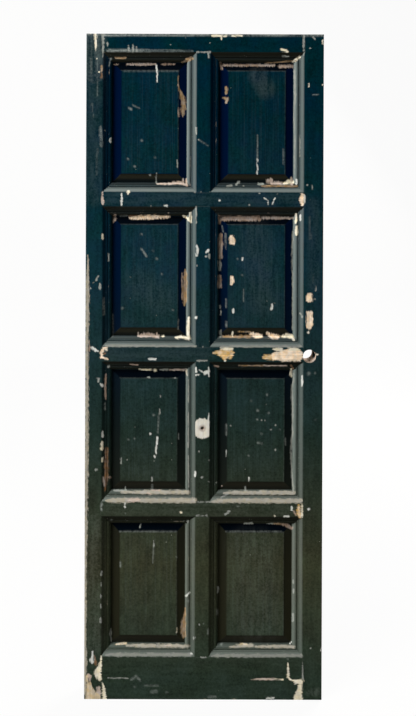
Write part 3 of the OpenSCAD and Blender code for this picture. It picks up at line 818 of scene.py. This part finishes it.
# bare where loss and rubbing beat the ragged noise
rub_share = node(tree, "MapRange", {
    "Value": patchy, "From Min": 0.44, "From Max": 0.72, "To Min": 0.0, "To Max": 1.7}).outputs[0]
rub_loss = node(tree, "Math", {0: rubbed, 1: rub_share, 2: -0.9}, operation="MULTIPLY_ADD").outputs[0]
all_loss = node(tree, "Math", {0: loss, 1: rub_loss}, operation="MAXIMUM").outputs[0]
swing = node(tree, "Math", {0: ragged, 1: 3.6, 2: -1.8}, operation="MULTIPLY_ADD").outputs[0]
edge_of_film = node(tree, "Math", {0: all_loss, 1: swing}, operation="ADD").outputs[0]
bare = node(tree, "MapRange", {"Value": edge_of_film, "From Min": 0.05, "From Max": 0.95}).outputs[0]

# pale specks: of 2 mm in some 16 mm cells, and of 1 mm in some 7 mm cells
big_cells = node(tree, "TexVoronoi", {"Vector": place, "Scale": 62, "Randomness": 1.0})
big_pick = node(tree, "SeparateColor", {"Color": big_cells.outputs["Color"]}).outputs["Red"]
big_size = node(tree, "MapRange", {
    "Value": big_pick, "From Min": 0.86, "From Max": 1.0, "To Min": 0.0, "To Max": 0.09}).outputs[0]
big_specks = node(tree, "Math", {
    0: big_cells.outputs["Distance"], 1: big_size}, operation="LESS_THAN").outputs[0]
small_cells = node(tree, "TexVoronoi", {"Vector": place, "Scale": 140, "Randomness": 1.0})
small_pick = node(tree, "SeparateColor", {"Color": small_cells.outputs["Color"]}).outputs["Green"]
small_size = node(tree, "MapRange", {
    "Value": small_pick, "From Min": 0.7, "From Max": 1.0, "To Min": 0.0, "To Max": 0.16}).outputs[0]
small_specks = node(tree, "Math", {
    0: small_cells.outputs["Distance"], 1: small_size}, operation="LESS_THAN").outputs[0]
faint_specks = node(tree, "Math", {0: small_specks, 1: 0.25}, operation="MULTIPLY").outputs[0]
strong_specks = node(tree, "Math", {0: big_specks, 1: 0.6}, operation="MULTIPLY").outputs[0]
specks = node(tree, "Math", {0: strong_specks, 1: faint_specks}, operation="MAXIMUM").outputs[0]
# no pale specks in the painted shade
unshaded = node(tree, "Math", {0: 1.0, 1: shaded_border}, operation="SUBTRACT").outputs[0]
specks = node(tree, "Math", {0: specks, 1: unshaded}, operation="MULTIPLY").outputs[0]

# paint: blue-green at the top, turning olive low down
climb = node(tree, "MapRange", {"Value": spot["Z"], "From Min": 0.0, "From Max": LEAF_H / 1000}).outputs[0]
paint = node(tree, "ValToRGB", {"Fac": climb}, stops=[
    (0.03, "#27332a"), (0.2, "#363929"), (0.4, "#1f2e29"), (0.65, "#0e2b33"), (0.88, "#01212a")]).outputs[0]
chalk = node(tree, "MapRange", {
    "Value": brushed, "From Min": 0.45, "From Max": 0.75, "To Min": 0.0, "To Max": 0.08}).outputs[0]
chalk = node(tree, "Math", {0: chalked, 1: chalk}, operation="MULTIPLY").outputs[0]
paint = node(tree, "Mix", {0: chalk, 6: paint, 7: colour("#55666a")}, data_type="RGBA").outputs[2]
uneven = node(tree, "Math", {0: smears, 1: 0.5, 2: grit}, operation="MULTIPLY_ADD").outputs[0]
uneven = node(tree, "Math", {0: patchy, 1: 0.5, 2: uneven}, operation="MULTIPLY_ADD").outputs[0]
uneven = node(tree, "MapRange", {
    "Value": uneven, "From Min": 0.7, "From Max": 1.3, "To Min": 0.5, "To Max": 1.5}).outputs[0]
tint = node(tree, "MapRange", {
    "Value": patchy, "From Min": 0.35, "From Max": 0.65, "To Min": 0.48, "To Max": 0.52}).outputs[0]
paint = node(tree, "HueSaturation", {"Color": paint, "Hue": tint, "Value": uneven}).outputs[0]

# painted shade on the sloping borders of the panels: navy high up and dark brown low down, black on the
# upper border in the shadow of the rail above
facing = node(tree, "SeparateXYZ", {"Vector": node(tree, "NewGeometry", {}).outputs["Normal"]})
up = facing.outputs["Z"]
deep = node(tree, "ValToRGB", {"Fac": climb}, stops=[
    (0.2, "#202016"), (0.42, "#0d1516"), (0.62, "#011025"), (0.85, "#000d27")]).outputs[0]
upper_border = node(tree, "MapRange", {"Value": up, "From Min": 0.04, "From Max": 0.14}).outputs[0]
deep = node(tree, "Mix", {0: upper_border, 6: deep, 7: colour("#02070e")}, data_type="RGBA").outputs[2]
lower_border = node(tree, "MapRange", {"Value": up, "From Min": -0.04, "From Max": -0.14}).outputs[0]
deep = node(tree, "Mix", {0: lower_border, 6: deep, 7: colour("#27271f")}, data_type="RGBA").outputs[2]
# the painted shade is laid over the paint on the panels' borders
paint = node(tree, "Mix", {0: shaded_border, 6: paint, 7: deep}, data_type="RGBA").outputs[2]

# painted highlight: faces turned up and toward the hanging side, where the light comes from, are lightened
# to grey, with a little dust on up-facing ledges; painted shade darkens faces turned down
toward_light = node(tree, "Math", {0: facing.outputs["X"], 1: -0.65, 2: up}, operation="MULTIPLY_ADD").outputs[0]
highlight_most = node(tree, "MapRange", {"Value": climb, "To Min": 0.18, "To Max": 0.38}).outputs[0]
# the painted highlight is kept off the outer edges of the stiles, fading in over 2 mm
off_middle = node(tree, "Math", {0: spot["X"]}, operation="ABSOLUTE").outputs[0]
off_edge = node(tree, "MapRange", {
    "Value": off_middle, "From Min": (LEAF_W / 2 - 3) / 1000, "From Max": (LEAF_W / 2 - 1) / 1000,
    "To Min": 1.0, "To Max": 0.1}).outputs[0]
highlight_most = node(tree, "Math", {0: highlight_most, 1: off_edge}, operation="MULTIPLY").outputs[0]
highlight_and_dust = node(tree, "MapRange", {
    "Value": toward_light, "From Min": 0.1, "From Max": 0.55, "To Min": 0.0, "To Max": highlight_most}).outputs[0]
# the painted highlight on the mouldings that face the light is added on top
highlight_and_dust = node(tree, "Math", {0: highlight_and_dust, 1: unshaded, 2: moulding_highlight}, operation="MULTIPLY_ADD").outputs[0]
paint = node(tree, "Mix", {0: highlight_and_dust, 6: paint, 7: colour("#8f9690")}, data_type="RGBA").outputs[2]
# painted shade on faces turned down and on the heads of the openings
underside_shade = node(tree, "MapRange", {
    "Value": up, "From Min": -0.05, "From Max": -0.35, "To Min": 0.0, "To Max": 0.9}).outputs[0]
underside_shade = node(tree, "Math", {0: underside_shade, 1: shaded_head}, operation="MAXIMUM").outputs[0]
shade_tone = node(tree, "Mix", {0: climb, 6: colour("#0b0b07"), 7: colour("#1f1e17")}, data_type="RGBA").outputs[2]
paint = node(tree, "Mix", {0: underside_shade, 6: paint, 7: shade_tone}, data_type="RGBA").outputs[2]
# painted shade along the lower bead of each sill, stronger higher up
paint = node(tree, "Mix", {0: shaded_bead, 6: paint, 7: colour("#050e12")}, data_type="RGBA").outputs[2]
paint = node(tree, "Mix", {0: specks, 6: paint, 7: colour("#a9aa9c")}, data_type="RGBA").outputs[2]

# scuffs lie unevenly, thick on the smears and thin between them
blotchy = node(tree, "Math", {0: smears, 1: grit}, operation="ADD").outputs[0]
blotchy = node(tree, "MapRange", {
    "Value": blotchy, "From Min": 0.8, "From Max": 1.2, "To Min": 0.2, "To Max": 1.7}).outputs[0]
scuff = node(tree, "Math", {0: scuffed, 1: blotchy}, operation="MULTIPLY").outputs[0]
paint = node(tree, "Mix", {0: scuff, 6: paint, 7: colour("#949a94")}, data_type="RGBA").outputs[2]

# wood and primer under the film: grain 170 mm long and 4 mm apart, stains of 11 mm, blotches of 17 mm
wood_at = node(tree, "Mapping", {"Vector": grain, "Scale": (6, 260, 260)}).outputs["Vector"]
wood_lines = node(tree, "TexNoise", {
    "Vector": wood_at, "Scale": 1, "Detail": 4, "Distortion": 0.6}).outputs["Fac"]
streaks = node(tree, "MapRange", {
    "Value": wood_lines, "From Min": 0.35, "From Max": 0.65, "To Min": 0.74, "To Max": 1.14}).outputs[0]
stain = node(tree, "TexNoise", {"Vector": place, "Scale": 90, "Detail": 3, "Roughness": 0.6}).outputs["Fac"]
stain = node(tree, "MapRange", {
    "Value": stain, "From Min": 0.35, "From Max": 0.65, "To Min": 1.25, "To Max": 0.65}).outputs[0]
blotches = node(tree, "TexNoise", {"Vector": place, "Scale": 60, "Detail": 2}).outputs["Fac"]
mottle = node(tree, "MapRange", {
    "Value": blotches, "From Min": 0.35, "From Max": 0.6, "To Min": 0.72, "To Max": 1.08}).outputs[0]
mottle = node(tree, "Math", {0: mottle, 1: streaks, 2: -1.0}, operation="MULTIPLY_ADD").outputs[0]
# primer is smooth and nearly grey, and wood, which has more colour, shows its grain
under_colour = node(tree, "SeparateColor", {"Color": under}, mode="HSV").outputs["Green"]
woody = node(tree, "MapRange", {
    "Value": under_colour, "From Min": 0.25, "From Max": 0.5, "To Min": 0.25, "To Max": 1.0}).outputs[0]
mottle = node(tree, "Math", {0: mottle, 1: woody, 2: 1.0}, operation="MULTIPLY_ADD").outputs[0]
under = node(tree, "HueSaturation", {"Color": under, "Saturation": stain, "Value": mottle}).outputs[0]

base = node(tree, "Mix", {0: bare, 6: paint, 7: under}, data_type="RGBA").outputs[2]
dull = node(tree, "Math", {0: bare, 1: shaded_border}, operation="MAXIMUM").outputs[0]
rough = node(tree, "MapRange", {"Value": dull, "To Min": 0.45, "To Max": 0.85}).outputs[0]
film = node(tree, "Math", {0: bare, 1: -1.0, 2: 1.0}, operation="MULTIPLY_ADD").outputs[0]
relief = node(tree, "Math", {0: brushed, 1: 0.1, 2: film}, operation="MULTIPLY_ADD").outputs[0]
bump = node(tree, "Bump", {"Height": relief, "Strength": 0.8, "Distance": 0.0004}).outputs["Normal"]
surface = node(tree, "BsdfPrincipled", {
    "Base Color": base, "Roughness": rough, "Specular IOR Level": 0.005, "Normal": bump})
node(tree, "OutputMaterial", {"Surface": surface.outputs[0]})

# Bare pine: end grain of the wedges in the edges of the stiles, dry and a little grey.
pine, tree = new_material("bare_pine")
place = node(tree, "TexCoord", {}).outputs["Object"]
# growth rings 2 to 5 mm apart, drawn out to 17 mm along the wedge
rings_at = node(tree, "Mapping", {"Vector": place, "Scale": (60, 500, 200)}).outputs["Vector"]
rings = node(tree, "TexNoise", {"Vector": rings_at, "Scale": 1, "Detail": 4}).outputs["Fac"]
base = node(tree, "ValToRGB", {"Fac": rings}, stops=[
    (0.3, "#6f5236"), (0.55, "#9c7a50"), (0.75, "#b89468")]).outputs[0]
bump = node(tree, "Bump", {"Height": rings, "Strength": 0.5, "Distance": 0.0003}).outputs["Normal"]
surface = node(tree, "BsdfPrincipled", {"Base Color": base, "Roughness": 0.85, "Normal": bump})
node(tree, "OutputMaterial", {"Surface": surface.outputs[0]})

# The leaf

for number, name in enumerate(UPRIGHTS + RAILS + PANELS):
    mesh = shaped(name)
    carry(mesh, name, number)
    piece = bpy.data.objects.new("painted_" + name, mesh)
    bpy.context.scene.collection.objects.link(piece)
    piece.data.materials.append(enamel)
    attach(piece, "root")
    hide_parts(name)

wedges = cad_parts["tenon_wedges"]
wedges.data.materials.clear()
wedges.data.materials.append(pine)

# Studio


def white_share(tree, most):
    """Share of white that is shown to rays that look, mirror or pass through, not to those that light."""
    seen = node(tree, "LightPath", {}).outputs
    ray = node(tree, "Math", {
        0: seen["Is Camera Ray"], 1: seen["Is Glossy Ray"]}, operation="MAXIMUM").outputs[0]
    ray = node(tree, "Math", {0: ray, 1: seen["Is Transmission Ray"]}, operation="MAXIMUM").outputs[0]
    return node(tree, "Math", {0: ray, 1: most}, operation="MULTIPLY").outputs[0]


# Matt white paper: floor and backdrop in one sweep, white to the eye, with the leaf's shadow kept faint.
paper, tree = new_material("white_paper")
ray = white_share(tree, 0.94)
matt = node(tree, "BsdfDiffuse", {"Color": colour("#b4b2ad")}).outputs[0]
white = node(tree, "Emission", {"Color": (1.0, 1.0, 1.0, 1.0), "Strength": 1.0}).outputs[0]
mixed = node(tree, "MixShader", {0: ray, 1: matt, 2: white}).outputs[0]
node(tree, "OutputMaterial", {"Surface": mixed})

# the sweep's front and back edges, height, half width and the radius of its bend, in metres
SWEEP_FRONT, SWEEP_BACK, SWEEP_TOP, SWEEP_HALF, BEND = -1.6, 3.0, 5.0, 5.0, 0.6
turns = [math.radians(a) for a in range(0, 91, 10)]
bend = [(SWEEP_BACK - BEND + BEND * math.sin(a), BEND - BEND * math.cos(a)) for a in turns]
section = [(SWEEP_FRONT, 0.0)] + bend + [(SWEEP_BACK, SWEEP_TOP)]
corners = [(x, y, z) for y, z in section for x in (-SWEEP_HALF, SWEEP_HALF)]
quads = [(2 * i, 2 * i + 1, 2 * i + 3, 2 * i + 2) for i in range(len(section) - 1)]
mesh = bpy.data.meshes.new("paper_sweep")
mesh.from_pydata(corners, [], quads)
mesh.shade_smooth()
sweep = bpy.data.objects.new("paper_sweep", mesh)
sweep.data.materials.append(paper)
bpy.context.scene.collection.objects.link(sweep)


def softbox(name, at, toward, width, tall, watts):
    """Hangs a lamp with a flat front, in metres and watts, that looks toward a place."""
    lamp = bpy.data.lights.new(name, "AREA")
    lamp.shape = "RECTANGLE"
    lamp.size, lamp.size_y, lamp.energy = width, tall, watts
    held = bpy.data.objects.new(name, lamp)
    held.location = at
    held.rotation_euler = (Vector(toward) - Vector(at)).to_track_quat("-Z", "Y").to_euler()
    bpy.context.scene.collection.objects.link(held)


softbox("left_softbox", (-4.6, -2.2, 2.4), (0.0, 0.0, 1.0), 2.2, 4.2, 330)
softbox("high_softbox", (-2.0, -1.5, 5.0), (0.0, 0.0, 0.9), 2.2, 1.4, 220)
softbox("back_softbox", (2.4, 1.6, 2.6), (0.0, 0.0, 1.0), 1.2, 1.6, 200)

world = bpy.data.worlds.new("studio_air")
bpy.context.scene.world = world
world.use_nodes = True
tree = world.node_tree
tree.nodes.clear()
air = node(tree, "Background", {"Color": colour("#c8ccd0"), "Strength": 0.03}).outputs[0]
white = node(tree, "Background", {"Color": (1.0, 1.0, 1.0, 1.0), "Strength": 1.0}).outputs[0]
mixed = node(tree, "MixShader", {0: white_share(tree, 1.0), 1: air, 2: white}).outputs[0]
node(tree, "OutputWorld", {"Surface": mixed})

lens = bpy.data.cameras.new("eye")
lens.sensor_width = SENSOR
lens.lens = FOCUS * SENSOR / PHOTO_H
lens.shift_x = (PHOTO_W / 2 - PRINCIPAL[0]) / PHOTO_H
lens.shift_y = -(PHOTO_H / 2 - PRINCIPAL[1]) / PHOTO_H
eye = bpy.data.objects.new("eye", lens)
eye.location = EYE
eye.rotation_euler = (math.pi / 2, -LEAN, 0)
bpy.context.scene.collection.objects.link(eye)
bpy.context.scene.camera = eye
bpy.context.scene.view_settings.view_transform = "Standard"
